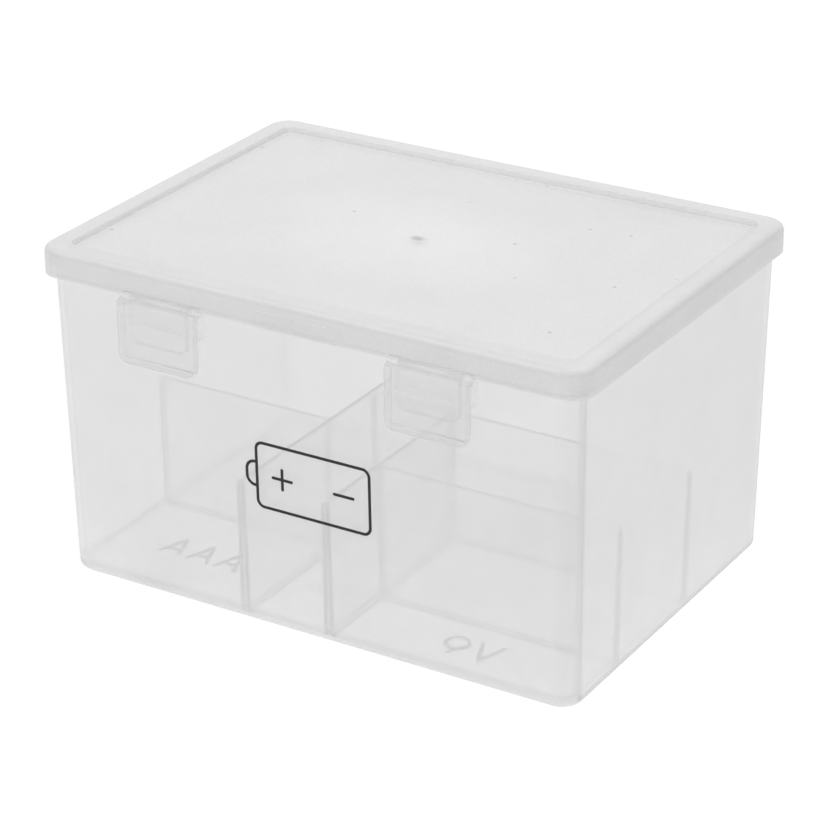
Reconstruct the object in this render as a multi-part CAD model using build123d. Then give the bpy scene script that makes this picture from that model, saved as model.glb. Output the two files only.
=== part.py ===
from build123d import *
import math
import os

# Battery storage case: a compartmented tub in natural polypropylene with a clip-on
# hinged lid and two front latches. All lengths are in millimetres and all angles in
# degrees. X runs along the front face, Y towards the back, Z up. The origin is the
# centre of the underside.

# ---- lid ----
lid_width = 200.0
lid_depth = 144.2
case_height = 117.6
skirt_height = 9.6
skirt_wall = 1.5
lid_corner_radius = 8.0
lid_edge_radius = 2.6
border_width = 7.8
border_step = 2.1
border_wall = 1.9
border_web = 1.5
border_edge_radius = 0.6
panel_wall = 1.6
panel_corner_radius = 3.2
thumb_pad_width = 29.0
thumb_pad_height = 5.4
thumb_pad_proud = 0.35
gate_mark_radius = 1.3
gate_mark_height = 0.25

# ---- tub ----
front_fit = 0.6
side_fit = 1.2
seat_gap = 0.3
front_draft = 1.16
side_draft = 0.67
tub_wall = 1.8
tub_floor = 2.0
tub_corner_radius = 7.7
base_edge_radius = 3.2
inner_floor_radius = 1.4
tub_rim_radius = 0.5

# ---- dividers, moulded with the tub ----
divider_top = 50.0
divider_thin = 2.0
divider_thick = 2.8
divider_edge_radius = 0.5
left_cell_width = 66.9
channel_width = 29.4
small_cell_depth = 50.9
block_cell_depth = 29.1
middle_cell_depth = 45.0

# ---- latches, placed from the lid's side and the lower edge of its skirt ----
latch_inset = 50.5
latch_width = 29.0
latch_front = 5.5
latch_wall = 1.5
latch_flange = 3.0
latch_flange_wall = 1.3
latch_drop = 20.8
latch_shoulder_drop = 0.3
latch_corner_radius = 3.2
latch_shoulder_radius = 1.3
strap_width = 21.6
strap_drop = 14.0
strap_corner_radius = 3.0
latch_axis_rise = 0.7
latch_barrel_radius = 1.5
latch_pin_radius = 0.8
latch_play = 0.3
ear_rise = 1.1
ear_slot_half_height = 5.4

# ---- catches on the tub ----
catch_width = 28.0
catch_drop = 1.4
catch_height = 7.6
catch_edge_radius = 0.6

# ---- hinges at the back ----
hinge_inset = 41.5
hinge_length = 52.0
hinge_axis_out = 2.1
hinge_axis_drop = 1.4
hinge_rod_radius = 1.3
hinge_clip_radius = 2.3
hinge_clip_mouth = 1.9
hinge_lug_radius = 2.1
hinge_lug_width = 2.6
hinge_lug_drop = 5.0
hinge_lug_blend = 0.86
hinge_brace_gap = 0.6
hinge_end_play = 0.4
hinge_web_rise = 2.4
hinge_web_angle = 53.0
turning_fit = 0.05

# ---- size marks on the floor and the printed battery symbol ----
mark_height = 0.4
mark_stroke = 1.3
letter_height = 11.6
letter_width = 9.0
letter_pitch = 11.2
letter_bar_rise = 3.1
mark_shift = 1.0
symbol_width = 43.2
symbol_height = 23.8
symbol_radius = 3.0
symbol_x = 3.0
symbol_z = 55.2
symbol_line = 1.0
symbol_ink = 0.12
symbol_sign_span = 8.0
symbol_sign_offset = 11.5
symbol_nub_height = 9.4
symbol_nub_width = 3.8
symbol_nub_radius = 3.6

# ---- limits for making the shapes ----
cut_margin = 1.0
same_place = 1e-4

# ---- places that follow from the sizes above ----
skirt_bottom_z = case_height - skirt_height
panel_top_z = case_height - border_step
tub_height = case_height - border_wall - seat_gap
rim_half_width = lid_width / 2 - skirt_wall - side_fit
rim_half_depth = lid_depth / 2 - skirt_wall - front_fit
skirt_front_y = -lid_depth / 2
latch_axis_y = skirt_front_y - latch_barrel_radius - latch_play
latch_front_y = skirt_front_y - latch_front
strap_back_y = latch_axis_y - latch_play / 3
catch_front_y = strap_back_y + latch_play
latch_x = lid_width / 2 - latch_inset
latch_bottom_z = skirt_bottom_z - latch_drop
latch_shoulder_z = skirt_bottom_z - latch_shoulder_drop
latch_axis_z = skirt_bottom_z + latch_axis_rise
strap_bottom_z = skirt_bottom_z - strap_drop
ear_top_z = latch_axis_z + ear_rise
catch_top_z = skirt_bottom_z - catch_drop
catch_bottom_z = catch_top_z - catch_height
hinge_x = lid_width / 2 - hinge_inset
hinge_axis_y = lid_depth / 2 + hinge_axis_out
hinge_axis_z = skirt_bottom_z - hinge_axis_drop
hinge_web_top = skirt_bottom_z + hinge_web_rise


def half_width(z):
    """Outer half width of the tub at height z."""
    return rim_half_width - (tub_height - z) * math.tan(math.radians(side_draft))


def half_depth(z):
    """Outer half depth of the tub at height z."""
    return rim_half_depth - (tub_height - z) * math.tan(math.radians(front_draft))


# ---- places of the dividers, from the clear size of the cells at the floor ----
inner_half_width = half_width(tub_floor) - tub_wall
inner_half_depth = half_depth(tub_floor) - tub_wall
left_divider_x = -inner_half_width + left_cell_width + divider_thick / 2
right_divider_x = left_divider_x + divider_thick + channel_width
small_cell_back_y = -inner_half_depth + small_cell_depth + divider_thick / 2
block_cell_back_y = -inner_half_depth + block_cell_depth + divider_thick / 2
middle_cell_back_y = block_cell_back_y + divider_thick + middle_cell_depth


def side_prism(points, x_centre, width):
    """Prism along X of a side-view outline given as (y, z) points."""
    face = Plane.YZ * make_face(Polyline(*points, close=True))
    return Pos(x_centre - width / 2, 0, 0) * extrude(face, width)


def wall_outline(half_size, bottom, top, inset):
    """Outline between two opposite drafted walls, as (across, z) points."""
    low, high = half_size(bottom) - inset, half_size(top) - inset
    return [(-low, bottom), (low, bottom), (high, top), (-high, top)]


def drafted_box(bottom, top, inset, radius):
    """Solid inside the tub's drafted walls, set in by inset, from bottom to top."""
    between_sides = make_face(Polyline(*wall_outline(half_width, bottom, top, inset), close=True))
    between_sides = extrude(Plane.XZ * between_sides, half_depth(top), both=True)
    front_to_back = side_prism(wall_outline(half_depth, bottom, top, inset), 0, 2 * half_width(top))
    solid = between_sides & front_to_back
    level_edges = edges_at_height(solid, bottom) + edges_at_height(solid, top)
    return fillet(solid.edges() - level_edges, radius)


def rounded_slab(width, depth, radius, bottom, top):
    """Upright slab with rounded corners, from bottom to top."""
    return Pos(0, 0, bottom) * extrude(RectangleRounded(width, depth, radius), top - bottom)


def block(x_range, y_range, z_range):
    """Box between the given limits."""
    size = [high - low for low, high in (x_range, y_range, z_range)]
    centre = [(high + low) / 2 for low, high in (x_range, y_range, z_range)]
    return Pos(*centre) * Box(*size)


def rod_along_x(x_centre, length, y, z, radius):
    """Cylinder along X."""
    return Pos(x_centre, y, z) * Rot(0, 90, 0) * Cylinder(radius, length)


def edges_at_height(solid, z):
    """Edges of a solid that lie in the level plane at height z."""
    return solid.edges().filter_by(lambda edge: max(abs(p.Z - z) for p in edge.vertices()) < same_place
                                   and abs(edge.center().Z - z) < same_place)


# ---- tub ----
def outer_tub():
    """The tub's outside as one solid block."""
    solid = drafted_box(0, tub_height, 0, tub_corner_radius)
    return fillet(edges_at_height(solid, 0), base_edge_radius)


def tub_cavity():
    """The space inside the tub, a little taller than the tub so that it cuts the rim open."""
    solid = drafted_box(tub_floor, tub_height + tub_floor, tub_wall, tub_corner_radius - tub_wall)
    return fillet(edges_at_height(solid, tub_floor), inner_floor_radius)


def make_tub(outside, cavity):
    """Floor and four drafted walls."""
    shell = outside - cavity
    return fillet(edges_at_height(shell, tub_height), tub_rim_radius)


def divider_section():
    """Cross-section of a divider: thicker at the floor, rounded along the top."""
    section = make_face(Polyline(
        (-divider_thick / 2, 0), (divider_thick / 2, 0),
        (divider_thin / 2, divider_top), (-divider_thin / 2, divider_top), close=True))
    top_corners = [v for v in section.vertices() if v.Y > divider_top / 2]
    return fillet(top_corners, divider_edge_radius)


def long_divider(x, back_y, cavity):
    """Divider along Y at x, from the front wall to back_y."""
    length = back_y + rim_half_depth
    prism = Pos(x, back_y, 0) * extrude(Plane.XZ * divider_section(), length)
    return prism & cavity


def cross_divider(y, x_range, cavity):
    """Divider along X at y, between the two places in x_range."""
    prism = Pos(x_range[0], y, 0) * extrude(Plane.YZ * divider_section(), x_range[1] - x_range[0])
    return prism & cavity


def largest_piece(shape):
    """The largest solid of a cut shape."""
    return max(shape.solids(), key=lambda piece: piece.volume)


def make_dividers(cavity):
    """The five dividers by name, each ending at the face of the one that it meets."""
    left_divider = long_divider(left_divider_x, rim_half_depth, cavity)
    back_crosswall = largest_piece(
        cross_divider(middle_cell_back_y, (left_divider_x, rim_half_width), cavity) - left_divider)
    right_divider = largest_piece(long_divider(right_divider_x, middle_cell_back_y, cavity) - back_crosswall)
    left_crosswall = largest_piece(
        cross_divider(small_cell_back_y, (-rim_half_width, left_divider_x), cavity) - left_divider)
    front_crosswall = largest_piece(
        cross_divider(block_cell_back_y, (right_divider_x, rim_half_width), cavity) - right_divider)
    return {"left_divider": left_divider, "right_divider": right_divider, "left_crosswall": left_crosswall,
            "front_crosswall": front_crosswall, "back_crosswall": back_crosswall}


# ---- lid ----
def outer_lid():
    """The lid's outside as one solid block with its top edge rounded."""
    solid = rounded_slab(lid_width, lid_depth, lid_corner_radius, skirt_bottom_z, case_height)
    return fillet(edges_at_height(solid, case_height), lid_edge_radius)


def make_lid(outside):
    """Sunken panel inside a raised border that stands over the tub's rim, with its skirt."""
    panel_width = lid_width - 2 * border_width
    panel_depth = lid_depth - 2 * border_width
    sunk = rounded_slab(panel_width, panel_depth, panel_corner_radius, panel_top_z,
                        case_height + cut_margin)
    under_all = rounded_slab(lid_width - 2 * skirt_wall, lid_depth - 2 * skirt_wall,
                             lid_corner_radius - skirt_wall, skirt_bottom_z - cut_margin,
                             case_height - border_wall)
    under_panel = rounded_slab(panel_width + 2 * border_web, panel_depth + 2 * border_web,
                               panel_corner_radius + border_web, panel_top_z - panel_wall, case_height)
    lid = outside - (under_all - under_panel) - sunk
    inner_edges = edges_at_height(lid, case_height)
    lid = fillet(inner_edges.filter_by(lambda edge: abs(edge.center().X) < panel_width / 2 + same_place
                                       and abs(edge.center().Y) < panel_depth / 2 + same_place),
                 border_edge_radius)
    gate_mark = Pos(0, 0, panel_top_z + gate_mark_height / 2) * Cylinder(gate_mark_radius, gate_mark_height)
    pad_top = skirt_bottom_z + thumb_pad_height
    thumb_pad = block((-thumb_pad_width / 2, thumb_pad_width / 2),
                      (skirt_front_y - thumb_pad_proud, skirt_front_y + skirt_wall / 2),
                      (skirt_bottom_z, pad_top))
    return lid + gate_mark + thumb_pad


# ---- latches ----
def latch_outline():
    """Side view of a latch's outside, from its hinge to its finger edge."""
    back_y = latch_front_y + latch_flange
    return [
        (latch_axis_y, latch_axis_z + latch_barrel_radius),
        (latch_front_y, latch_shoulder_z),
        (latch_front_y, latch_bottom_z),
        (back_y, latch_bottom_z),
        (back_y, latch_axis_z - 2 * latch_barrel_radius),
        (latch_axis_y, latch_axis_z - latch_barrel_radius),
    ]


def make_latch(x):
    """Flanged front plate with a sloping hood, and the strap and barrel behind it."""
    skin = side_prism(latch_outline(), x, latch_width)
    finger_corners = skin.edges().filter_by(Axis.Y).filter_by(
        lambda edge: abs(edge.center().Z - latch_bottom_z) < same_place)
    skin = fillet(finger_corners, latch_corner_radius)
    skin = fillet(skin.edges().filter_by(Axis.X).filter_by(
        lambda edge: abs(edge.center().Y - latch_front_y) < same_place and edge.center().Z > catch_top_z),
        latch_shoulder_radius)
    hollow_half = latch_width / 2 - latch_flange_wall
    plate_back_y = latch_front_y + latch_wall
    hood_rise = (latch_axis_z + latch_barrel_radius - latch_shoulder_z) / (latch_axis_y - latch_front_y)
    hollow_shoulder_z = latch_shoulder_z + latch_wall * (hood_rise - math.hypot(1, hood_rise))
    hollow_outline = [
        (plate_back_y, latch_bottom_z + latch_flange_wall),
        (plate_back_y, hollow_shoulder_z),
        (skirt_front_y, hollow_shoulder_z + hood_rise * (skirt_front_y - plate_back_y)),
        (skirt_front_y, latch_bottom_z + latch_flange_wall),
    ]
    hollow = side_prism(hollow_outline, x, 2 * hollow_half)
    strap_front_y = latch_front_y + latch_wall / 2
    strap = side_prism([(strap_front_y, strap_bottom_z), (strap_front_y, latch_shoulder_z),
                        (latch_axis_y, latch_axis_z), (strap_back_y, latch_axis_z),
                        (strap_back_y, strap_bottom_z)], x, strap_width)
    strap_front = Plane.XZ * (Pos(x, strap_bottom_z + latch_drop) * RectangleRounded(
        strap_width, 2 * latch_drop, strap_corner_radius))
    strap &= Pos(0, skirt_front_y, 0) * extrude(strap_front, latch_front)
    barrel = rod_along_x(x, strap_width, latch_axis_y, latch_axis_z, latch_barrel_radius)
    latch = (skin - hollow) + strap + barrel
    ear_room = latch_barrel_radius + latch_play
    side_width = (latch_width - strap_width) / 2 + cut_margin
    for side in (-1, 1):
        side_x = x + side * (strap_width / 2 + side_width / 2)
        latch -= rod_along_x(side_x, side_width, latch_axis_y, latch_axis_z, ear_room)
        latch -= block((side_x - side_width / 2, side_x + side_width / 2),
                       (latch_axis_y, skirt_front_y),
                       (latch_axis_z - ear_slot_half_height, latch_axis_z + ear_slot_half_height))
    return latch - rod_along_x(x, latch_width, latch_axis_y, latch_axis_z, latch_pin_radius + turning_fit)


def make_latch_pivot(x, lid_block):
    """Two ears on the skirt and the pin between them, for one latch."""
    ear_width = (latch_width - strap_width) / 2 - latch_play
    pivot = rod_along_x(x, latch_width, latch_axis_y, latch_axis_z, latch_pin_radius)
    for side in (-1, 1):
        ear_x = x + side * (latch_width / 2 - ear_width / 2)
        ear = rod_along_x(ear_x, ear_width, latch_axis_y, latch_axis_z, latch_barrel_radius)
        root = block((ear_x - ear_width / 2, ear_x + ear_width / 2),
                     (latch_axis_y, skirt_front_y + skirt_wall / 2), (skirt_bottom_z, ear_top_z))
        pivot += ear + root
    return pivot - lid_block


def make_catch(x, tub_block):
    """Ledge on the tub's front wall that the latch's strap closes over."""
    ledge = block((x - catch_width / 2, x + catch_width / 2),
                  (catch_front_y, -rim_half_depth + tub_wall), (catch_bottom_z, catch_top_z))
    front_edges = ledge.edges().filter_by(lambda edge: abs(edge.center().Y - catch_front_y) < same_place)
    return fillet(front_edges, catch_edge_radius) - tub_block


# ---- hinges ----
def make_hinge_rod(x, tub_block):
    """Two lugs on the tub's back wall with the rod between them."""
    rod_length = hinge_length + 2 * (hinge_end_play + hinge_lug_width)
    brace_bottom_z = hinge_axis_z - hinge_lug_radius - hinge_lug_drop
    brace_top_z = skirt_bottom_z - hinge_brace_gap
    hinge_rod = rod_along_x(x, rod_length, hinge_axis_y, hinge_axis_z, hinge_rod_radius)
    for side in (-1, 1):
        lug_x = x + side * (hinge_length / 2 + hinge_end_play + hinge_lug_width / 2)
        lug = rod_along_x(lug_x, hinge_lug_width, hinge_axis_y, hinge_axis_z, hinge_lug_radius)
        brace = side_prism(
            [(rim_half_depth - tub_wall, brace_top_z),
             (hinge_axis_y - hinge_lug_radius / 2, brace_top_z),
             (hinge_axis_y + hinge_lug_radius / 2, hinge_axis_z - hinge_lug_radius * hinge_lug_blend),
             (rim_half_depth - tub_wall, brace_bottom_z)],
            lug_x, hinge_lug_width)
        hinge_rod += lug + brace
    return hinge_rod - tub_block


def make_hinge_clip(x, lid_block):
    """Open barrel on the lid's back skirt that snaps over the tub's rod."""
    barrel = rod_along_x(x, hinge_length, hinge_axis_y, hinge_axis_z, hinge_clip_radius)
    web_y = hinge_clip_radius * math.cos(math.radians(hinge_web_angle))
    web_z = hinge_clip_radius * math.sin(math.radians(hinge_web_angle))
    web = side_prism(
        [(lid_depth / 2 - skirt_wall / 2, skirt_bottom_z),
         (hinge_axis_y - web_z, skirt_bottom_z),
         (hinge_axis_y, hinge_axis_z),
         (hinge_axis_y + web_y, hinge_axis_z + web_z),
         (lid_depth / 2, hinge_web_top),
         (lid_depth / 2 - skirt_wall / 2, hinge_web_top)],
        x, hinge_length)
    cut_half = hinge_length / 2 + cut_margin
    bore = rod_along_x(x, 2 * cut_half, hinge_axis_y, hinge_axis_z, hinge_rod_radius + turning_fit)
    mouth = block((x - cut_half, x + cut_half),
                  (hinge_axis_y - hinge_clip_mouth / 2, hinge_axis_y + hinge_clip_mouth / 2),
                  (hinge_axis_z - 2 * hinge_clip_radius, hinge_axis_z))
    return (barrel + web) - bore - mouth - lid_block


# ---- size marks ----
def stroke(start, end, width):
    """Flat bar with round ends between two points."""
    run = Vector(*end) - Vector(*start)
    middle = (Vector(*start) + Vector(*end)) / 2
    angle = math.degrees(math.atan2(run.Y, run.X))
    return Pos(middle.X, middle.Y) * Rot(0, 0, angle) * SlotCenterToCenter(run.length, width)


def letter_a():
    """Letter A of three strokes, its foot line at y = 0."""
    half = (letter_width - mark_stroke) / 2
    tall = letter_height - mark_stroke
    bar_half = half * (1 - letter_bar_rise / tall)
    return (stroke((-half, 0), (0, tall), mark_stroke) + stroke((half, 0), (0, tall), mark_stroke)
            + stroke((-bar_half, letter_bar_rise), (bar_half, letter_bar_rise), mark_stroke))


def letter_v():
    """Letter V of two strokes."""
    half = (letter_width - mark_stroke) / 2
    tall = letter_height - mark_stroke
    return stroke((-half, tall), (0, 0), mark_stroke) + stroke((half, tall), (0, 0), mark_stroke)


def figure_nine():
    """Figure 9: a ring with a tail."""
    ring = (letter_width - mark_stroke) / 2
    centre_y = letter_height - mark_stroke - ring
    loop = Pos(0, centre_y) * (Circle(ring + mark_stroke / 2) - Circle(ring - mark_stroke / 2))
    return loop + stroke((ring, centre_y), (0, 0), mark_stroke)


def letter_c():
    """Letter C: an open ring."""
    ring = (letter_height - mark_stroke) / 2
    opening = Pos(ring, ring) * Rectangle(ring, ring)
    return Pos(0, ring) * (Circle(ring + mark_stroke / 2) - Circle(ring - mark_stroke / 2)) - opening


def word(letters, x, y):
    """Row of letters raised from the floor, its middle at x and its foot line at y."""
    start = -(len(letters) - 1) / 2 * letter_pitch
    solids = []
    for index, letter in enumerate(letters):
        place = Pos(x + start + index * letter_pitch, y, tub_floor)
        solids += (place * extrude(letter, mark_height)).solids()
    return solids


def foot_line(front_y, back_y):
    """Foot line of the letters in a cell between two walls, a little behind the middle."""
    return (front_y + back_y - letter_height) / 2 + mark_shift


def make_size_marks():
    """Cell sizes moulded on the floor of their compartments."""
    channel_x = (left_divider_x + right_divider_x) / 2
    left_x = (left_divider_x - inner_half_width) / 2
    right_x = (right_divider_x + inner_half_width) / 2
    small_y = foot_line(-inner_half_depth, small_cell_back_y - divider_thick / 2)
    block_y = foot_line(-inner_half_depth, block_cell_back_y - divider_thick / 2)
    marks = word([letter_a()] * 3, left_x, small_y)
    marks += word([letter_a()] * 2, channel_x, small_y)
    marks += word([figure_nine(), letter_v()], right_x, block_y)
    marks += word([letter_c()], right_x, foot_line(block_cell_back_y, middle_cell_back_y))
    return Compound(marks)


# ---- printed battery symbol ----
def symbol_sketch():
    """Outline of a battery with its terminal and its two polarity signs."""
    body = RectangleRounded(symbol_width, symbol_height, symbol_radius)
    hole = RectangleRounded(symbol_width - 2 * symbol_line, symbol_height - 2 * symbol_line,
                            symbol_radius - symbol_line)
    nub_x = -symbol_width / 2
    nub = Pos(nub_x, 0) * RectangleRounded(2 * symbol_nub_width, symbol_nub_height, symbol_nub_radius)
    nub_hole = Pos(nub_x, 0) * RectangleRounded(2 * (symbol_nub_width - symbol_line),
                                                symbol_nub_height - 2 * symbol_line,
                                                symbol_nub_radius - symbol_line)
    half = symbol_sign_span / 2 - symbol_line / 2
    plus = stroke((-half, 0), (half, 0), symbol_line) + stroke((0, -half), (0, half), symbol_line)
    minus = stroke((-half, 0), (half, 0), symbol_line)
    return ((nub - nub_hole - body) + (body - hole) + Pos(-symbol_sign_offset, 0) * plus
            + Pos(symbol_sign_offset, 0) * minus)


def make_symbol():
    """The symbol as a thin layer of ink on the drafted front wall."""
    wall = Plane(origin=(symbol_x, -half_depth(symbol_z), symbol_z), x_dir=(1, 0, 0),
                 z_dir=(0, -math.cos(math.radians(front_draft)), -math.sin(math.radians(front_draft))))
    return extrude(wall * symbol_sketch(), symbol_ink)


def make_parts():
    """All nodes by name."""
    tub_block = outer_tub()
    cavity = tub_cavity()
    lid_block = outer_lid()
    parts = {"tub": make_tub(tub_block, cavity)}
    parts.update(make_dividers(cavity))
    parts["size_marks"] = make_size_marks()
    parts["battery_symbol"] = make_symbol()
    parts["lid"] = make_lid(lid_block)
    for side, sign in (("left", -1), ("right", 1)):
        parts[f"{side}_catch"] = make_catch(sign * latch_x, tub_block)
        parts[f"{side}_hinge_rod"] = make_hinge_rod(sign * hinge_x, tub_block)
        parts[f"{side}_hinge_clip"] = make_hinge_clip(sign * hinge_x, lid_block)
        parts[f"{side}_latch_pivot"] = make_latch_pivot(sign * latch_x, lid_block)
        parts[f"{side}_latch"] = make_latch(sign * latch_x)
    return parts


os.makedirs("parts", exist_ok=True)
for name, solid in make_parts().items():
    export_step(solid, f"parts/{name}.step")
    print(name, len(solid.solids()), round(solid.volume, 1))
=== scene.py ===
import logging
import math
from dataclasses import dataclass
from enum import Enum
from typing import Any

import bmesh
import bpy
from mathutils import Matrix, Vector


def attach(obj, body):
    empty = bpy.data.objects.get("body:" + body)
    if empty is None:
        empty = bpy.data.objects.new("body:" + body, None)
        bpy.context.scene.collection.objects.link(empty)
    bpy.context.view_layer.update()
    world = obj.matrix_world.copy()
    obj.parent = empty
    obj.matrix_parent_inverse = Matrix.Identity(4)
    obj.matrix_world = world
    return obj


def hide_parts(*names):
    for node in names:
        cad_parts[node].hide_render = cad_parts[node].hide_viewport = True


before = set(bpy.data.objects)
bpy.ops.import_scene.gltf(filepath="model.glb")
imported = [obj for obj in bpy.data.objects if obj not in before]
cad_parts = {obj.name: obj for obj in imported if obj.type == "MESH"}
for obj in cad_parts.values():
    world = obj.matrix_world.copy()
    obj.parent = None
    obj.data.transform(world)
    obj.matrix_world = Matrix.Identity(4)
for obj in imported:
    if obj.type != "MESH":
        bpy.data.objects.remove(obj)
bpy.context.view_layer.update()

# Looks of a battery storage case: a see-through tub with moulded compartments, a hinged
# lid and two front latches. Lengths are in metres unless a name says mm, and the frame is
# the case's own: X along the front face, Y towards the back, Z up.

MM = 0.001
LOG = logging.getLogger("battery_case")


@dataclass(frozen=True)
class Band:
    """Two values between which a look sets in."""

    start: float
    full: float


# Size of a normal's part along an axis, from 0 for none to 1 for all of it.
NARROW_FACE = Band(0.35, 0.65)
TOP_EDGE = Band(0.3, 0.8)
FLOOR_FACE = Band(0.9, 0.98)
SPECK_FACE = Band(0.8, 0.95)
# Faces more upright than this take the darker milk that paints shade on upright faces.
LEVEL_FACE = Band(0.5, 0.95)
CORNER_LINE_MIDDLE = 0.95
CORNER_LINE_HALF = 0.035

# Blender's noise seldom leaves the middle of its range, so each pattern uses that part.
FLOW_NOISE = Band(0.3, 0.7)
GRAIN_NOISE = Band(0.35, 0.65)
STREAK_NOISE = Band(0.4, 0.7)
STREAK_STRENGTH = Band(0.4, 1.6)
STREAK_STRETCH = 0.04
# Only the grid cells whose random red is this high hold a speck.
SPECK_CHOICE = Band(0.86, 0.95)

# Facing is 0 for a face seen squarely and 1 for one seen edge on. A little more than 1
# keeps the way through the wall from growing without end.
EDGE_ON = 1.04
SCHLICK_POWER = 5.0
FOOT_BLEND_MM = 0.8

BEVEL_SEGMENTS = 2
WELD_MM = 0.002
FLAT_DEG = 0.5
SHARP_DEG = 40.0
SMOOTH_DEG = 35.0


def linear(hex_colour: str) -> tuple[float, float, float, float]:
    """Turns an sRGB hex colour into linear light.

    Args:
        hex_colour: Colour as "#RRGGBB".

    Returns:
        Red, green, blue and an alpha of 1.
    """
    channels = [int(hex_colour[i:i + 2], 16) / 255 for i in (1, 3, 5)]
    light = [c / 12.92 if c <= 0.04045 else ((c + 0.055) / 1.055) ** 2.4 for c in channels]
    return (light[0], light[1], light[2], 1.0)


def add_node(tree: bpy.types.NodeTree, kind: str, inputs: dict[Any, Any] | None = None,
             **settings: Any) -> bpy.types.Node:
    """Adds a shader node with its settings, values and links.

    Args:
        tree: Node tree that receives the node.
        kind: Blender's type name of the node.
        inputs: Value or source socket for each input, by name or number.
        settings: Properties of the node itself.

    Returns:
        The new node.
    """
    node = tree.nodes.new(kind)
    for name, value in settings.items():
        setattr(node, name, value)
    for name, value in (inputs or {}).items():
        if isinstance(value, bpy.types.NodeSocket):
            tree.links.new(value, node.inputs[name])
        else:
            node.inputs[name].default_value = value
    return node


def new_material(name: str) -> bpy.types.Material:
    """Makes an empty node material.

    Args:
        name: Name of the material.

    Returns:
        The material, without a node.
    """
    material = bpy.data.materials.new(name)
    material.use_nodes = True
    material.node_tree.nodes.clear()
    return material


def cover_whole(piece: bpy.types.Object, material: bpy.types.Material) -> None:
    """Gives a piece one finish all over.

    Args:
        piece: Piece to dress.
        material: Its finish.
    """
    piece.data.materials.clear()
    piece.data.materials.append(material)


class Side(Enum):
    """Side of the case, seen from the front."""

    LEFT = "left"
    RIGHT = "right"


class PatchShape(Enum):
    """Outline of a patch on the plastic."""

    BOX = "box"
    ROUND = "round"


class WallRun(Enum):
    """Axis that a divider runs along; the value is the axis across it."""

    FRONT_TO_BACK = "X"
    LEFT_TO_RIGHT = "Y"


@dataclass(frozen=True)
class Patch:
    """A place where the plastic is cloudier, such as a mark left by ejection."""

    centre_mm: tuple[float, float, float]
    half_mm: tuple[float, float, float]
    haze: float
    soft: float = 0.1
    shape: PatchShape = PatchShape.BOX
    streak_pitch_mm: float = 0.0

    def reach(self, tree: bpy.types.NodeTree,
              place: bpy.types.NodeSocket) -> bpy.types.NodeSocket:
        """Builds how far out a point lies: 0 at the patch's centre and 1 at its edge.

        Args:
            tree: Node tree of the material.
            place: Object coordinates in metres.

        Returns:
            Distance from the centre, in half sizes of the patch.
        """
        off = add_node(tree, "ShaderNodeVectorMath", {
            0: place, 1: [c * MM for c in self.centre_mm]}, operation="SUBTRACT")
        share = add_node(tree, "ShaderNodeVectorMath", {
            0: off.outputs["Vector"], 1: [h * MM for h in self.half_mm]}, operation="DIVIDE")
        if self.shape is PatchShape.ROUND:
            return add_node(tree, "ShaderNodeVectorMath", {0: share.outputs["Vector"]},
                            operation="LENGTH").outputs["Value"]
        size = add_node(tree, "ShaderNodeVectorMath", {0: share.outputs["Vector"]},
                        operation="ABSOLUTE")
        parts = add_node(tree, "ShaderNodeSeparateXYZ", {"Vector": size.outputs["Vector"]})
        wider = add_node(tree, "ShaderNodeMath", {
            0: parts.outputs["X"], 1: parts.outputs["Y"]}, operation="MAXIMUM")
        return add_node(tree, "ShaderNodeMath", {
            0: wider.outputs["Value"], 1: parts.outputs["Z"]},
            operation="MAXIMUM").outputs["Value"]

    def cover(self, tree: bpy.types.NodeTree,
              place: bpy.types.NodeSocket) -> bpy.types.NodeSocket:
        """Builds the haze that the patch adds.

        Args:
            tree: Node tree of the material.
            place: Object coordinates in metres.

        Returns:
            Haze to add, zero outside the patch.
        """
        inside = add_node(tree, "ShaderNodeMapRange", {
            "Value": self.reach(tree, place), "From Min": 1.0 - self.soft, "From Max": 1.0,
            "To Min": self.haze, "To Max": 0.0}).outputs["Result"]
        if not self.streak_pitch_mm:
            return inside
        drawn = add_node(tree, "ShaderNodeMapping", {
            "Vector": place, "Scale": (1.0, 1.0, STREAK_STRETCH)})
        lines = add_node(tree, "ShaderNodeTexNoise", {
            "Vector": drawn.outputs["Vector"], "Scale": 1 / (self.streak_pitch_mm * MM),
            "Detail": 2.0})
        strong = add_node(tree, "ShaderNodeMapRange", {
            "Value": lines.outputs["Fac"],
            "From Min": STREAK_NOISE.start, "From Max": STREAK_NOISE.full,
            "To Min": STREAK_STRENGTH.start, "To Max": STREAK_STRENGTH.full})
        return add_node(tree, "ShaderNodeMath", {
            0: inside, 1: strong.outputs["Result"]}, operation="MULTIPLY").outputs["Value"]


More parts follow.
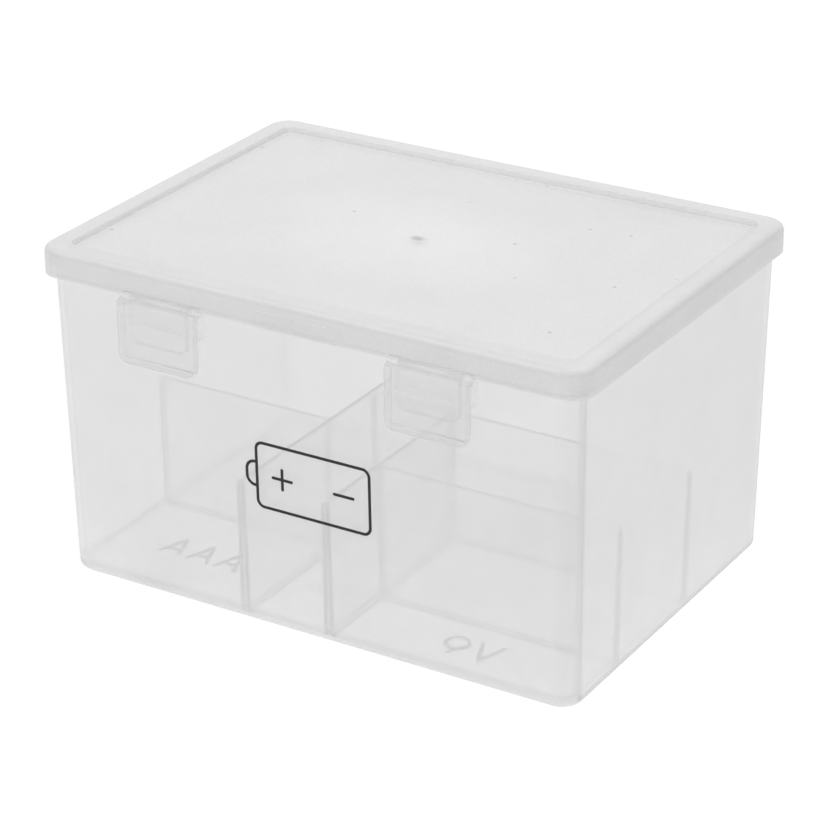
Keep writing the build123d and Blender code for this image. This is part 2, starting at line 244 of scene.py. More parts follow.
@dataclass(frozen=True)
class NaturalPolypropylene:
    """Uncoloured injection-moulded polypropylene, polished in the mould.

    The plastic is milky and lets most light straight through a thin wall. It looks denser
    where the eye meets it at a slant, because the way through the wall is longer there, and
    along the narrow faces that the eye looks into. Scattered light goes on forwards, so the
    walls hardly shade each other. The haze is the part of the light that one wall scatters
    towards an eye that meets it squarely.
    """

    name: str
    haze: float
    milk: str = "#EEEEEE"
    # Darker milk for upright faces: painted shade, standing for light that falls mostly from
    # above.
    upright_painted_shade_milk: str = ""
    dense_shade: float = 1.0
    mottle: float = 0.0
    mottle_pitch_mm: float = 1.2
    cloud_depth: float = 0.006
    cloud_pitch_mm: float = 24.0
    ripple_pitch_mm: float = 5.0
    ripple_height_mm: float = 0.004
    roughness: float = 0.2
    reflectance: float = 0.04
    light_through: float = 0.5
    shade_share: float = 0.0
    end_haze: float = 0.0
    end_axis: str = "X"
    top_edge_haze: float = 0.0
    corner_line_haze: float = 0.0
    foot_haze: float = 0.0
    foot_height_mm: float = 4.8
    speck_haze: float = 0.0
    speck_pitch_mm: float = 15.0
    speck_size_mm: float = 0.9
    patches: tuple[Patch, ...] = ()

    def normal_share(self, tree: bpy.types.NodeTree, axis: str) -> bpy.types.NodeSocket:
        """Builds how far a face looks along an axis, from 0 for not at all to 1.

        Args:
            tree: Node tree of the material.
            axis: "X", "Y" or "Z".

        Returns:
            Size of the normal's part along the axis.
        """
        normal = add_node(tree, "ShaderNodeSeparateXYZ", {
            "Vector": add_node(tree, "ShaderNodeTexCoord").outputs["Normal"]})
        return add_node(tree, "ShaderNodeMath", {0: normal.outputs[axis]},
                        operation="ABSOLUTE").outputs["Value"]

    def cloud(self, tree: bpy.types.NodeTree,
              place: bpy.types.NodeSocket) -> bpy.types.NodeSocket:
        """Builds the faint cloudiness left by the flow of the melt.

        Args:
            tree: Node tree of the material.
            place: Object coordinates in metres.

        Returns:
            Density to add, above and below zero.
        """
        flow = add_node(tree, "ShaderNodeTexNoise", {
            "Vector": place, "Scale": 1 / (self.cloud_pitch_mm * MM), "Detail": 3.0,
            "Roughness": 0.6})
        return add_node(tree, "ShaderNodeMapRange", {
            "Value": flow.outputs["Fac"],
            "From Min": FLOW_NOISE.start, "From Max": FLOW_NOISE.full,
            "To Min": -self.cloud_depth, "To Max": self.cloud_depth}).outputs["Result"]

    def ends(self, tree: bpy.types.NodeTree) -> bpy.types.NodeSocket:
        """Builds the dense look of a wall's narrow faces, into which the eye looks.

        Args:
            tree: Node tree of the material.

        Returns:
            Haze to add.
        """
        return add_node(tree, "ShaderNodeMapRange", {
            "Value": self.normal_share(tree, self.end_axis),
            "From Min": NARROW_FACE.start, "From Max": NARROW_FACE.full,
            "To Min": self.end_haze, "To Max": 0.0}).outputs["Result"]

    def top_edges(self, tree: bpy.types.NodeTree) -> bpy.types.NodeSocket:
        """Builds the denser line along a wall's level top edge.

        Args:
            tree: Node tree of the material.

        Returns:
            Haze to add.
        """
        return add_node(tree, "ShaderNodeMapRange", {
            "Value": self.normal_share(tree, "Z"),
            "From Min": TOP_EDGE.start, "From Max": TOP_EDGE.full,
            "To Min": 0.0, "To Max": self.top_edge_haze}).outputs["Result"]

    def corner_lines(self, tree: bpy.types.NodeTree) -> bpy.types.NodeSocket:
        """Builds the dark line down an upright corner, where its rounding ends.

        Args:
            tree: Node tree of the material.

        Returns:
            Haze to add.
        """
        line = add_node(tree, "ShaderNodeMath", {
            0: self.normal_share(tree, "X"), 1: CORNER_LINE_MIDDLE, 2: CORNER_LINE_HALF},
            operation="COMPARE")
        return add_node(tree, "ShaderNodeMath", {
            0: line.outputs["Value"], 1: self.corner_line_haze},
            operation="MULTIPLY").outputs["Value"]

    def foot(self, tree: bpy.types.NodeTree,
             place: bpy.types.NodeSocket) -> bpy.types.NodeSocket:
        """Builds the dense band round the foot, where the eye looks into the floor's edge.

        Args:
            tree: Node tree of the material.
            place: Object coordinates in metres.

        Returns:
            Haze to add.
        """
        height = add_node(tree, "ShaderNodeSeparateXYZ", {"Vector": place}).outputs["Z"]
        low = add_node(tree, "ShaderNodeMapRange", {
            "Value": height, "From Min": (self.foot_height_mm - FOOT_BLEND_MM) * MM,
            "From Max": self.foot_height_mm * MM, "To Min": self.foot_haze, "To Max": 0.0})
        wall = add_node(tree, "ShaderNodeMapRange", {
            "Value": self.normal_share(tree, "Z"),
            "From Min": FLOOR_FACE.start, "From Max": FLOOR_FACE.full,
            "To Min": 1.0, "To Max": 0.0})
        return add_node(tree, "ShaderNodeMath", {
            0: low.outputs["Result"], 1: wall.outputs["Result"]},
            operation="MULTIPLY").outputs["Value"]

    def specks(self, tree: bpy.types.NodeTree,
               place: bpy.types.NodeSocket) -> bpy.types.NodeSocket:
        """Builds a few dust specks on the level faces, in some cells of a loose grid.

        Args:
            tree: Node tree of the material.
            place: Object coordinates in metres.

        Returns:
            Density to add.
        """
        cells = add_node(tree, "ShaderNodeTexVoronoi", {
            "Vector": place, "Scale": 1 / (self.speck_pitch_mm * MM), "Randomness": 1.0},
            voronoi_dimensions="2D")
        spot = add_node(tree, "ShaderNodeMapRange", {
            "Value": cells.outputs["Distance"], "From Min": 0.0,
            "From Max": self.speck_size_mm / self.speck_pitch_mm,
            "To Min": 1.0, "To Max": 0.0})
        kept = add_node(tree, "ShaderNodeSeparateColor", {"Color": cells.outputs["Color"]})
        size = add_node(tree, "ShaderNodeMapRange", {
            "Value": kept.outputs["Red"],
            "From Min": SPECK_CHOICE.start, "From Max": SPECK_CHOICE.full,
            "To Min": 0.0, "To Max": self.speck_haze})
        level = add_node(tree, "ShaderNodeMapRange", {
            "Value": self.normal_share(tree, "Z"),
            "From Min": SPECK_FACE.start, "From Max": SPECK_FACE.full})
        speck = add_node(tree, "ShaderNodeMath", {
            0: spot.outputs["Result"], 1: size.outputs["Result"]}, operation="MULTIPLY")
        return add_node(tree, "ShaderNodeMath", {
            0: speck.outputs["Value"], 1: level.outputs["Result"]},
            operation="MULTIPLY").outputs["Value"]

    def hazy_places(self, tree: bpy.types.NodeTree,
                    place: bpy.types.NodeSocket) -> list[bpy.types.NodeSocket]:
        """Builds the places that are hazier than the plain wall.

        Args:
            tree: Node tree of the material.
            place: Object coordinates in metres.

        Returns:
            Haze that each of them adds.
        """
        places = []
        if self.end_haze:
            places.append(self.ends(tree))
        if self.top_edge_haze:
            places.append(self.top_edges(tree))
        if self.foot_haze:
            places.append(self.foot(tree, place))
        if self.corner_line_haze:
            places.append(self.corner_lines(tree))
        return places + [patch.cover(tree, place) for patch in self.patches]

    def colour(self, tree: bpy.types.NodeTree, place: bpy.types.NodeSocket,
               density: bpy.types.NodeSocket) -> bpy.types.NodeSocket:
        """Builds the colour of the milkiness, greyer where it is dense, and darker on upright
        faces as painted shade.

        Args:
            tree: Node tree of the material.
            place: Object coordinates in metres.
            density: Haze above that of the plain wall.

        Returns:
            Colour of the scattered light.
        """
        base: Any = linear(self.milk)[:3]
        # Upright faces blend towards the darker milk: painted shade, as if the light came
        # from above.
        if self.upright_painted_shade_milk:
            level = add_node(tree, "ShaderNodeMapRange", {
                "Value": self.normal_share(tree, "Z"),
                "From Min": LEVEL_FACE.start, "From Max": LEVEL_FACE.full})
            base = add_node(tree, "ShaderNodeMix", {
                0: level.outputs["Result"], 6: linear(self.upright_painted_shade_milk),
                7: linear(self.milk)}, data_type="RGBA").outputs[2]
        shade = add_node(tree, "ShaderNodeMath", {
            0: density, 1: -self.dense_shade, 2: 1.0},
            operation="MULTIPLY_ADD").outputs["Value"]
        if self.mottle:
            fine = add_node(tree, "ShaderNodeTexNoise", {
                "Vector": place, "Scale": 1 / (self.mottle_pitch_mm * MM), "Detail": 4.0,
                "Roughness": 0.7})
            grain = add_node(tree, "ShaderNodeMapRange", {
                "Value": fine.outputs["Fac"],
                "From Min": GRAIN_NOISE.start, "From Max": GRAIN_NOISE.full,
                "To Min": 1.0 - self.mottle, "To Max": 1.0})
            shade = add_node(tree, "ShaderNodeMath", {
                0: shade, 1: grain.outputs["Result"]}, operation="MULTIPLY").outputs["Value"]
        return add_node(tree, "ShaderNodeVectorMath", {0: base, "Scale": shade},
                        operation="SCALE").outputs["Vector"]

    def eye_share(self, tree: bpy.types.NodeTree) -> bpy.types.NodeSocket:
        """Builds how much of the plastic a ray meets.

        Args:
            tree: Node tree of the material.

        Returns:
            1 for the eye and for reflections, and the shade share for the light on its way
            to another wall.
        """
        path = add_node(tree, "ShaderNodeLightPath")
        scattered = add_node(tree, "ShaderNodeMath", {
            0: path.outputs["Is Shadow Ray"], 1: path.outputs["Is Diffuse Ray"]},
            operation="MAXIMUM")
        return add_node(tree, "ShaderNodeMapRange", {
            "Value": scattered.outputs["Value"], "To Min": 1.0,
            "To Max": self.shade_share}).outputs["Result"]

    def wall_cover(self, tree: bpy.types.NodeTree, haze: Any, facing: bpy.types.NodeSocket,
                   share: bpy.types.NodeSocket) -> bpy.types.NodeSocket:
        """Builds how much of what lies behind the wall hides, by the way through it.

        Args:
            tree: Node tree of the material.
            haze: Haze of the wall met squarely, as a number or a socket.
            facing: 0 where the eye meets the wall squarely, 1 where edge on.
            share: How much of the plastic the ray meets.

        Returns:
            Cover, from 0 for clear to 1 for closed.
        """
        level = add_node(tree, "ShaderNodeMath", {0: EDGE_ON, 1: facing},
                         operation="SUBTRACT")
        way = add_node(tree, "ShaderNodeMath", {0: 1.0, 1: level.outputs["Value"]},
                       operation="DIVIDE")
        clear = add_node(tree, "ShaderNodeMath", {0: 1.0, 1: haze}, operation="SUBTRACT")
        clear = add_node(tree, "ShaderNodeMath", {
            0: clear.outputs["Value"], 1: way.outputs["Value"]}, operation="POWER")
        cover = add_node(tree, "ShaderNodeMath", {0: 1.0, 1: clear.outputs["Value"]},
                         operation="SUBTRACT")
        return add_node(tree, "ShaderNodeMath", {0: cover.outputs["Value"], 1: share},
                        operation="MULTIPLY").outputs["Value"]

    def mirror(self, tree: bpy.types.NodeTree, facing: bpy.types.NodeSocket,
               share: bpy.types.NodeSocket) -> bpy.types.NodeSocket:
        """Builds how much the surface mirrors, more where it is met at a slant.

        Args:
            tree: Node tree of the material.
            facing: 0 where the eye meets the wall squarely, 1 where edge on.
            share: How much of the plastic the ray meets.

        Returns:
            Part of the light that is mirrored.
        """
        grazing = add_node(tree, "ShaderNodeMath", {0: facing, 1: SCHLICK_POWER},
                           operation="POWER")
        mirrored = add_node(tree, "ShaderNodeMapRange", {
            "Value": grazing.outputs["Value"], "To Min": self.reflectance, "To Max": 1.0})
        return add_node(tree, "ShaderNodeMath", {0: mirrored.outputs["Result"], 1: share},
                        operation="MULTIPLY").outputs["Value"]

    def gloss(self, tree: bpy.types.NodeTree,
              place: bpy.types.NodeSocket) -> bpy.types.NodeSocket:
        """Builds the gloss of the surface, with the slow ripple of a polished mould.

        Args:
            tree: Node tree of the material.
            place: Object coordinates in metres.

        Returns:
            Shader of the mirrored light.
        """
        ripple = add_node(tree, "ShaderNodeTexNoise", {
            "Vector": place, "Scale": 1 / (self.ripple_pitch_mm * MM), "Detail": 2.0})
        bump = add_node(tree, "ShaderNodeBump", {
            "Height": ripple.outputs["Fac"], "Strength": 1.0,
            "Distance": self.ripple_height_mm * MM})
        return add_node(tree, "ShaderNodeBsdfGlossy", {
            "Roughness": self.roughness,
            "Normal": bump.outputs["Normal"]}).outputs["BSDF"]

    def make(self) -> bpy.types.Material:
        """Builds the node material.

        Returns:
            The material.
        """
        material = new_material(self.name)
        tree = material.node_tree
        place = add_node(tree, "ShaderNodeTexCoord").outputs["Object"]
        # Clouds and specks act on the colour alone. In the cover they would draw contour
        # lines where it crosses the level at which the render's clean-up changes surface.
        density = self.cloud(tree, place)
        if self.speck_haze:
            density = add_node(tree, "ShaderNodeMath", {
                0: density, 1: self.specks(tree, place)}).outputs["Value"]
        haze: Any = self.haze
        for extra in self.hazy_places(tree, place):
            density = add_node(tree, "ShaderNodeMath", {
                0: density, 1: extra}).outputs["Value"]
            haze = add_node(tree, "ShaderNodeMath", {
                0: haze, 1: extra}, use_clamp=True).outputs["Value"]
        facing = add_node(tree, "ShaderNodeLayerWeight", {"Blend": 0.5}).outputs["Facing"]
        share = self.eye_share(tree)
        milk = self.colour(tree, place, density)
        front = add_node(tree, "ShaderNodeBsdfDiffuse", {"Color": milk})
        behind = add_node(tree, "ShaderNodeBsdfTranslucent", {"Color": milk})
        body = add_node(tree, "ShaderNodeMixShader", {
            0: self.light_through, 1: front.outputs["BSDF"], 2: behind.outputs["BSDF"]})
        clear = add_node(tree, "ShaderNodeBsdfTransparent")
        wall = add_node(tree, "ShaderNodeMixShader", {
            0: self.wall_cover(tree, haze, facing, share), 1: clear.outputs["BSDF"],
            2: body.outputs["Shader"]})
        surface = add_node(tree, "ShaderNodeMixShader", {
            0: self.mirror(tree, facing, share), 1: wall.outputs["Shader"],
            2: self.gloss(tree, place)})
        add_node(tree, "ShaderNodeOutputMaterial", {"Surface": surface.outputs["Shader"]})
        return material


@dataclass(frozen=True)
class PadPrintInk:
    """Black pad-printing ink: a thin, nearly matt film with a faintly uneven cover."""

    name: str = "black_pad_print_ink"
    colour: str = "#0B0B0C"
    roughness: float = 0.5
    roughness_spread: float = 0.1
    grain_pitch_mm: float = 0.8

    def make(self) -> bpy.types.Material:
        """Builds the node material.

        Returns:
            The material.
        """
        material = new_material(self.name)
        tree = material.node_tree
        coordinates = add_node(tree, "ShaderNodeTexCoord")
        grain = add_node(tree, "ShaderNodeTexNoise", {
            "Vector": coordinates.outputs["Object"],
            "Scale": 1 / (self.grain_pitch_mm * MM), "Detail": 2.0})
        uneven = add_node(tree, "ShaderNodeMapRange", {
            "Value": grain.outputs["Fac"], "To Min": self.roughness - self.roughness_spread,
            "To Max": self.roughness + self.roughness_spread})
        ink = add_node(tree, "ShaderNodeBsdfPrincipled", {
            "Base Color": linear(self.colour), "Roughness": uneven.outputs["Result"],
            "IOR": 1.5})
        add_node(tree, "ShaderNodeOutputMaterial", {"Surface": ink.outputs["BSDF"]})
        return material


@dataclass(frozen=True)
class SoftBox:
    """Square lamp with a wide soft front."""

    name: str
    place: tuple[float, float, float]
    size: float
    power: float


@dataclass(frozen=True)
class Studio:
    """Camera, pale floor, white surroundings and soft lamps."""

    azimuth_deg: float = 31.306
    elevation_deg: float = 25.037
    roll_deg: float = -0.368
    distance: float = 1.01201
    focal_px: float = 3075.12
    frame_px: float = 828.0
    sensor_mm: float = 36.0
    target: Vector = Vector((4.474 * MM, -9.638 * MM, 57.567 * MM))
    world_light: float = 0.9
    floor_glow: float = 0.85
    floor_size: float = 6.0
    floor_height: float = -0.0002
    lamp_target: Vector = Vector((0.0, 0.0, 0.06))
    lamps: tuple[SoftBox, ...] = (
        SoftBox("key_softbox", (-0.55, -0.75, 1.0), 0.7, 3.2),
        SoftBox("top_softbox", (0.05, 0.35, 1.2), 0.9, 4.0))
    clear_layers: int = 40

    def place_camera(self) -> None:
        """Places the camera at the viewing angle of the reference view."""
        azimuth = math.radians(self.azimuth_deg)
        elevation = math.radians(self.elevation_deg)
        roll = math.radians(self.roll_deg)
        back = Vector((math.sin(azimuth) * math.cos(elevation),
                       -math.cos(azimuth) * math.cos(elevation), math.sin(elevation)))
        level = Vector((math.cos(azimuth), math.sin(azimuth), 0.0))
        upright = back.cross(level)
        right = math.cos(roll) * level + math.sin(roll) * upright
        up = -math.sin(roll) * level + math.cos(roll) * upright
        data = bpy.data.cameras.new("camera")
        data.sensor_width = self.sensor_mm
        data.lens = self.sensor_mm * self.focal_px / self.frame_px
        data.clip_start = 0.05
        data.clip_end = 20.0
        camera = bpy.data.objects.new("camera", data)
        bpy.context.scene.collection.objects.link(camera)
        turn = Matrix((right, up, back)).transposed().to_4x4()
        camera.matrix_world = Matrix.Translation(self.target + back * self.distance) @ turn
        bpy.context.scene.camera = camera

    def seen_directly(self, tree: bpy.types.NodeTree) -> bpy.types.NodeSocket:
        """Builds the test for the rays that show the surroundings as they look.

        Args:
            tree: Node tree of the world or the floor.

        Returns:
            1 for the camera, for gloss and for clear plastic, otherwise 0.
        """
        path = add_node(tree, "ShaderNodeLightPath")
        seen = add_node(tree, "ShaderNodeMath", {
            0: path.outputs["Is Camera Ray"], 1: path.outputs["Is Glossy Ray"]},
            operation="MAXIMUM")
        return add_node(tree, "ShaderNodeMath", {
            0: seen.outputs["Value"], 1: path.outputs["Is Transmission Ray"]},
            operation="MAXIMUM").outputs["Value"]

    def light_surroundings(self) -> None:
        """Makes the surroundings white to the eye and a plain soft light on the case."""
        world = bpy.data.worlds.new("white_studio")
        bpy.context.scene.world = world
        world.use_nodes = True
        tree = world.node_tree
        tree.nodes.clear()
        strength = add_node(tree, "ShaderNodeMapRange", {
            "Value": self.seen_directly(tree), "To Min": self.world_light, "To Max": 1.0})
        glow = add_node(tree, "ShaderNodeBackground", {
            "Color": linear("#FFFFFF"), "Strength": strength.outputs["Result"]})
        add_node(tree, "ShaderNodeOutputWorld", {"Surface": glow.outputs["Background"]})

    def lay_floor(self) -> None:
        """Lays the pale floor that keeps the case's shadow."""
        bpy.ops.mesh.primitive_plane_add(
            size=self.floor_size, location=(0.0, 0.0, self.floor_height))
        floor = bpy.context.object
        floor.name = "studio_floor"
        # Matt white paint, with a glow that only the eye sees, so that it ends in white.
        material = new_material("white_painted_floor")
        tree = material.node_tree
        paint = add_node(tree, "ShaderNodeBsdfDiffuse", {"Color": linear("#F4F4F4")})
        glow = add_node(tree, "ShaderNodeEmission", {
            "Color": linear("#FFFFFF"), "Strength": 1.0})
        share = add_node(tree, "ShaderNodeMath", {
            0: self.seen_directly(tree), 1: self.floor_glow}, operation="MULTIPLY")
        mix = add_node(tree, "ShaderNodeMixShader", {
            0: share.outputs["Value"], 1: paint.outputs["BSDF"], 2: glow.outputs["Emission"]})
        add_node(tree, "ShaderNodeOutputMaterial", {"Surface": mix.outputs["Shader"]})
        floor.data.materials.append(material)

    def hang_lamps(self) -> None:
        """Hangs the soft boxes round the case."""
        for box in self.lamps:
            data = bpy.data.lights.new(box.name, "AREA")
            data.shape = "SQUARE"
            data.size = box.size
            data.energy = box.power
            lamp = bpy.data.objects.new(box.name, data)
            bpy.context.scene.collection.objects.link(lamp)
            lamp.location = box.place
            aim = self.lamp_target - Vector(box.place)
            lamp.rotation_euler = aim.to_track_quat("-Z", "Y").to_euler()

    def build(self) -> None:
        """Builds the whole studio."""
        self.place_camera()
        self.light_surroundings()
        self.lay_floor()
        self.hang_lamps()
        scene = bpy.context.scene
        scene.view_settings.view_transform = "Standard"
        # The eye looks through many clear walls, one behind the other.
        scene.cycles.transparent_max_bounces = self.clear_layers


@dataclass
class SolidGroup:
    """A group of the case's solids that are dressed together."""

    def build(self) -> None:
        """Models and dresses the group."""
        raise NotImplementedError

    def dress(self, node: str, material: bpy.types.Material) -> None:
        """Gives a solid its finish.

        Args:
            node: Name of the solid.
            material: Finish of its whole surface.
        """
        cover_whole(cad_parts[node], material)
        LOG.info("dressed %s in %s", node, material.name)

    def round_edges(self, piece: bpy.types.Object, radius: float,
                    sharp_deg: float = 0.0) -> None:
        """Rounds the edges of the active piece.

        Args:
            piece: The active piece.
            radius: Radius of the edges in metres.
            sharp_deg: Angle above which an edge is rounded, or 0 for every edge.
        """
        edge = piece.modifiers.new("rounded_edges", "BEVEL")
        edge.width = radius
        edge.segments = BEVEL_SEGMENTS
        edge.limit_method = "ANGLE" if sharp_deg else "NONE"
        if sharp_deg:
            edge.angle_limit = math.radians(sharp_deg)
        bpy.ops.object.modifier_apply(modifier=edge.name)

    def soften(self, node: str, name: str, body: str, radius_mm: float,
               material: bpy.types.Material) -> bpy.types.Object:
        """Makes the visible piece of a solid, with the soft edges of a polished mould.

        Args:
            node: Name of the solid.
            name: Name of the new piece.
            body: Body that the piece moves with.
            radius_mm: Radius of the edges.
            material: Finish of the whole surface.

        Returns:
            The new piece, which stands for the solid.
        """
        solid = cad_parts[node]
        piece = bpy.data.objects.new(name, solid.data.copy())
        bpy.context.scene.collection.objects.link(piece)
        bpy.ops.object.select_all(action="DESELECT")
        piece.select_set(True)
        bpy.context.view_layer.objects.active = piece
        bpy.ops.object.mode_set(mode="EDIT")
        bpy.ops.mesh.select_all(action="SELECT")
        bpy.ops.mesh.remove_doubles(threshold=WELD_MM * MM)
        bpy.ops.mesh.dissolve_limited(angle_limit=math.radians(FLAT_DEG))
        bpy.ops.object.mode_set(mode="OBJECT")
        self.round_edges(piece, radius_mm * MM, SHARP_DEG)
        bpy.ops.object.shade_smooth_by_angle(angle=math.radians(SMOOTH_DEG))
        cover_whole(piece, material)
        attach(piece, body)
        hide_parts(node)
        LOG.info("modelled %s: %d faces", name, len(piece.data.polygons))
        return piece


@dataclass
class Tub(SolidGroup):
    """Tub moulding: floor, four drafted walls, catches, raised sizes and the symbol."""

    haze: float = 0.35
    foot_haze: float = 0.17
    corner_line_haze: float = 0.16
    mark_haze: float = 0.08
    clear_mark_haze: float = 0.5
    catch_haze: float = 0.2

    def build(self) -> None:
        """Dresses the tub."""
        # Natural polypropylene from a polished mould: milky, brightest where light crosses
        # it, and denser where the eye looks into the floor's edge.
        self.dress("tub", NaturalPolypropylene(
            "tub_polypropylene_polished", self.haze, milk="#E9E9E9",
            foot_haze=self.foot_haze, corner_line_haze=self.corner_line_haze,
            cloud_depth=0.02).make())
        # Raised sizes moulded with the floor: grey strokes, of which only the AAA and the
        # 9V nearest the front stand out of the milky floor.
        self.dress("size_marks", NaturalPolypropylene(
            "raised_size_polypropylene_moulded", self.mark_haze, milk="#D8D8D8", patches=(
                Patch((-60.0, -40.0, 2.0), (34.0, 26.0, 3.0), self.clear_mark_haze),
                Patch((50.0, -52.0, 2.0), (44.0, 14.5, 3.0), self.clear_mark_haze))).make())
        # Black ink printed with a soft pad: dead black and nearly matt, so that it stands
        # out hard from the milky wall.
        self.dress("battery_symbol", PadPrintInk().make())
        # Thin ledges of the same moulding: almost clear, seen as pale lines behind the
        # latches.
        catch = NaturalPolypropylene("catch_polypropylene_moulded", self.catch_haze).make()
        for side in Side:
            self.dress(f"{side.value}_catch", catch)


@dataclass(frozen=True)
class DividerWall:
    """Place of one divider: its middle plane, and its two ends at the foot and the head."""

    run: WallRun
    middle_mm: float
    start_mm: tuple[float, float]
    end_mm: tuple[float, float]
    foot_half_mm: float = 1.385
    head_half_mm: float = 1.0

    def point(self, run_mm: float, off_mm: float, height_mm: float) -> Vector:
        """Gives the place of a point in metres.

        Args:
            run_mm: Place along the divider.
            off_mm: Distance from its middle plane.
            height_mm: Height above the underside.

        Returns:
            Place in the case's frame.
        """
        across_mm = self.middle_mm + off_mm
        if self.run is WallRun.LEFT_TO_RIGHT:
            return Vector((run_mm, across_mm, height_mm)) * MM
        return Vector((across_mm, run_mm, height_mm)) * MM


DIVIDERS = {
    "left_divider": DividerWall(
        WallRun.FRONT_TO_BACK, -25.87, (-65.9, -66.88), (65.9, 66.88)),
    "right_divider": DividerWall(
        WallRun.FRONT_TO_BACK, 6.33, (-65.9, -66.88), (11.01, 11.39)),
    "left_crosswall": DividerWall(
        WallRun.LEFT_TO_RIGHT, -13.6, (-94.17, -94.74), (-27.26, -26.88)),
    "front_crosswall": DividerWall(
        WallRun.LEFT_TO_RIGHT, -35.4, (7.71, 7.33), (94.17, 94.74)),
    "back_crosswall": DividerWall(
        WallRun.LEFT_TO_RIGHT, 12.4, (-24.49, -24.88), (94.17, 94.74)),
}

# Streaks that ejection dragged down from the top of three dividers.
DRAG_MARKS = {
    "left_divider": (
        Patch((-25.9, -51.0, 39.5), (4.0, 8.0, 9.5), 0.05, streak_pitch_mm=1.6),
        Patch((-25.9, 3.8, 43.0), (4.0, 5.4, 5.0), 0.05, streak_pitch_mm=1.6)),
    "left_crosswall": (
        Patch((-61.5, -13.6, 44.0), (5.0, 4.0, 6.0), 0.05, streak_pitch_mm=1.6),),
    "front_crosswall": (
        Patch((61.2, -35.4, 40.0), (6.2, 4.0, 10.0), 0.08, streak_pitch_mm=1.2),),
}


@dataclass
class Compartments(SolidGroup):
    """Long dividers and crosswalls that part the tub into compartments."""

    haze: float = 0.15
    long_end_haze: float = 0.3
    long_top_haze: float = 0.18
    cross_end_haze: float = 0.35
    root_haze: float = 0.28
    foot_z_mm: float = 2.0
    head_z_mm: float = 49.5
    fillet_mm: float = 0.9
    fillet_edge_share: float = 0.3

    def root_bar(self, low: Vector, high: Vector) -> bpy.types.Object:
        """Models one narrow bar in the corner between two walls.

        Args:
            low: Middle of its first end.
            high: Middle of its other end.

        Returns:
            The bar, with its place in its mesh.
        """
        run = high - low
        size = [max(abs(c), self.fillet_mm * MM) for c in run]
        middle = (low + high) / 2
        upright = abs(run.z) > self.fillet_mm * MM
        if upright:
            size[0] = size[1] = self.fillet_mm * MM
            middle.x, middle.y = low.x, low.y
        bpy.ops.mesh.primitive_cube_add(size=1.0, location=middle, scale=size)
        bar = bpy.context.object
        bpy.ops.object.transform_apply(location=True, rotation=True, scale=True)
        if upright:
            # The walls are drafted, so the bar's head is moved over its foot.
            bpy.ops.object.mode_set(mode="EDIT")
            bpy.ops.mesh.select_all(action="DESELECT")
            mesh = bmesh.from_edit_mesh(bar.data)
            for corner in mesh.verts:
                corner.select_set(corner.co.z > middle.z)
            bmesh.update_edit_mesh(bar.data)
            bpy.ops.transform.translate(value=(run.x, run.y, 0.0))
            bpy.ops.object.mode_set(mode="OBJECT")
        return bar

    def wall_bars(self, wall: DividerWall) -> list[bpy.types.Object]:
        """Models the bars along the foot of a divider and up its two ends.

        Args:
            wall: Place of the divider.

        Returns:
            Six bars.
        """
        bars = []
        for side in (-1, 1):
            foot = side * wall.foot_half_mm
            head = side * wall.head_half_mm
            bars.append(self.root_bar(wall.point(wall.start_mm[0], foot, self.foot_z_mm),
                                      wall.point(wall.end_mm[0], foot, self.foot_z_mm)))
            for end in (wall.start_mm, wall.end_mm):
                bars.append(self.root_bar(wall.point(end[0], foot, self.foot_z_mm),
                                          wall.point(end[1], head, self.head_z_mm)))
        return bars

    def root_fillets(self) -> None:
        """Models the small fillets where the dividers grow out of the floor and walls."""
        bpy.ops.object.select_all(action="DESELECT")
        bars = [bar for wall in DIVIDERS.values() for bar in self.wall_bars(wall)]
        bpy.ops.object.select_all(action="DESELECT")
        for bar in bars:
            bar.select_set(True)
        bpy.context.view_layer.objects.active = bars[0]
        bpy.ops.object.join()
        fillets = bpy.context.object
        fillets.name = "divider_root_fillets"
        self.round_edges(fillets, self.fillet_mm * MM * self.fillet_edge_share)
        # Where the dividers meet the floor and walls the plastic is thicker and denser, and
        # its milk is darkened as well: painted shade in the corners.
        cover_whole(fillets, NaturalPolypropylene(
            "root_fillet_dense_polypropylene_painted_shade", self.root_haze, milk="#B8B8B8").make())
        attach(fillets, "tub")
        LOG.info("modelled %s: %d bars", fillets.name, len(bars))

    def build(self) -> None:
        """Dresses the dividers and models their fillets."""
        for node, wall in DIVIDERS.items():
            is_long = wall.run is WallRun.FRONT_TO_BACK
            # Thin moulded walls: clear from the side, dense along their narrow edges, with
            # the streaks that ejection drags down from the top.
            self.dress(node, NaturalPolypropylene(
                f"{node}_polypropylene_moulded", self.haze, milk="#DFDFDF",
                end_haze=self.long_end_haze if is_long else self.cross_end_haze,
                end_axis=wall.run.value,
                top_edge_haze=self.long_top_haze if is_long else 0.0,
                patches=DRAG_MARKS.get(node, ())).make())
        self.root_fillets()


# Places of the lid that look denser or clearer than its plain wall.
LID_PATCHES = (
    # Top of the raised border.
    Patch((0.0, 0.0, 117.3), (200.0, 200.0, 1.6), 0.02, soft=0.3),
    # Line round the skirt's lower edge.
    Patch((0.0, 0.0, 109.1), (200.0, 200.0, 0.45), 0.1, soft=0.6),
    # Edge of the thumb pad.
    Patch((0.0, -72.4, 110.7), (14.8, 0.3, 2.9), 0.03),
    # Smudge round the gate, where the melt came in.
    Patch((0.5, 0.0, 114.0), (4.5, 3.0, 8.0), 0.45, soft=0.8, shape=PatchShape.ROUND),
    # Clearer middle of the panel, whose milk is lightened too: a painted pool of light.
    Patch((0.0, 0.0, 114.0), (62.0, 45.0, 60.0), -0.12, soft=1.0, shape=PatchShape.ROUND),
)


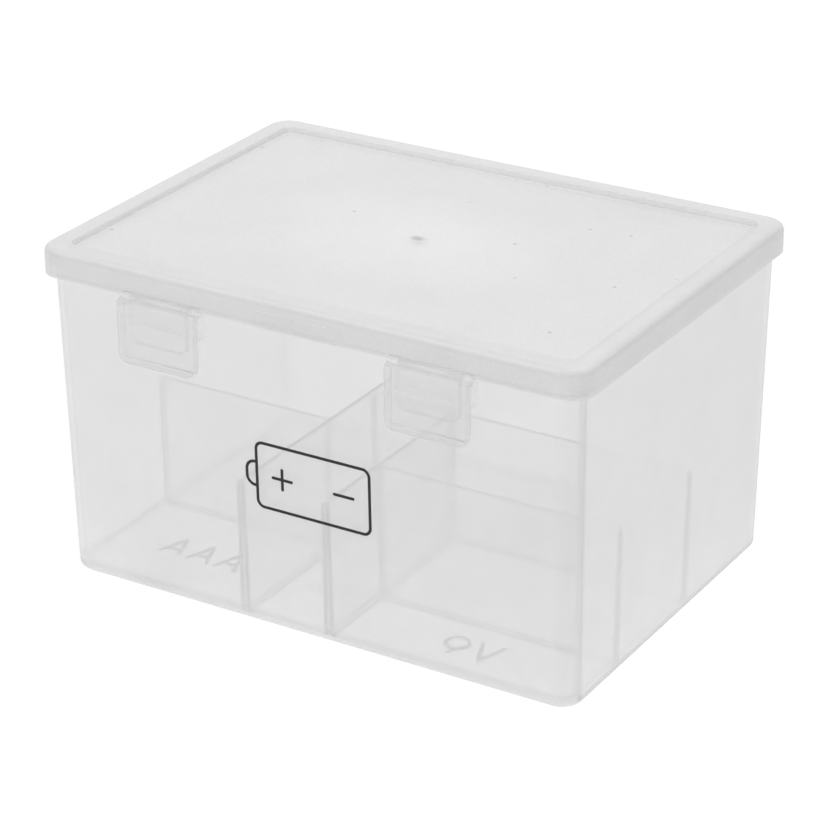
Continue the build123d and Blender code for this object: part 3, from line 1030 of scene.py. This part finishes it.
@dataclass
class Lid(SolidGroup):
    """Lid moulding: sunken panel, raised border, skirt, hinge clips and latch ears."""

    haze: float = 0.4
    clip_haze: float = 0.3
    ear_haze: float = 0.08

    def build(self) -> None:
        """Dresses the lid."""
        # Moulded thicker than the walls and finely textured: it looks whiter, and nearly
        # hides what is under it.
        # Its upright faces, the skirt most of all, take the greyer milk: painted shade for
        # light from above.
        self.dress("lid", NaturalPolypropylene(
            "lid_polypropylene_moulded", self.haze, milk="#E8E8E8", upright_painted_shade_milk="#D8D8D8",
            light_through=0.3, mottle=0.05, cloud_depth=0.015, speck_haze=0.45,
            patches=LID_PATCHES).make())
        # Thick barrels round the rods: greyer than the skirt that they hang from.
        clip = NaturalPolypropylene(
            "hinge_clip_polypropylene_moulded", self.clip_haze, milk="#D4D4D4").make()
        # Ears as thin as a nail: almost clear, so that the latch in front of them stays
        # the shape that the eye reads.
        ear = NaturalPolypropylene(
            "latch_ear_polypropylene_moulded", self.ear_haze, milk="#D4D4D4").make()
        for side in Side:
            self.dress(f"{side.value}_hinge_clip", clip)
            self.dress(f"{side.value}_latch_pivot", ear)


@dataclass
class FrontLatch(SolidGroup):
    """One front latch: flanged plate with its hood, strap and barrel."""

    side: Side = Side.LEFT
    haze: float = 0.2
    edge_radius_mm: float = 0.35

    def build(self) -> None:
        """Models and dresses the latch."""
        node = f"{self.side.value}_latch"
        # A small polished moulding with soft edges that catch the light as thin lines.
        finish = NaturalPolypropylene(
            f"{node}_polypropylene_moulded", self.haze, milk="#E0E0E0").make()
        self.soften(node, f"{node}_moulding", node, self.edge_radius_mm, finish)


@dataclass
class BackHinge(SolidGroup):
    """One hinge rod with its lugs on the tub's back wall."""

    side: Side = Side.LEFT
    haze: float = 0.3

    def build(self) -> None:
        """Dresses the hinge rod."""
        node = f"{self.side.value}_hinge_rod"
        # A solid rod, thicker than any wall: the greyest and densest of the mouldings.
        self.dress(node, NaturalPolypropylene(
            f"{node}_polypropylene_moulded", self.haze, milk="#CCCCCC").make())


def main() -> None:
    """Builds the studio and every group of the case."""
    logging.basicConfig(level=logging.INFO, format="%(message)s")
    Studio().build()
    groups: list[SolidGroup] = [Tub(), Compartments(), Lid()]
    groups += [FrontLatch(side=side) for side in Side]
    groups += [BackHinge(side=side) for side in Side]
    for group in groups:
        group.build()
        LOG.info("finished %s", type(group).__name__)


if __name__ == "__main__":
    main()
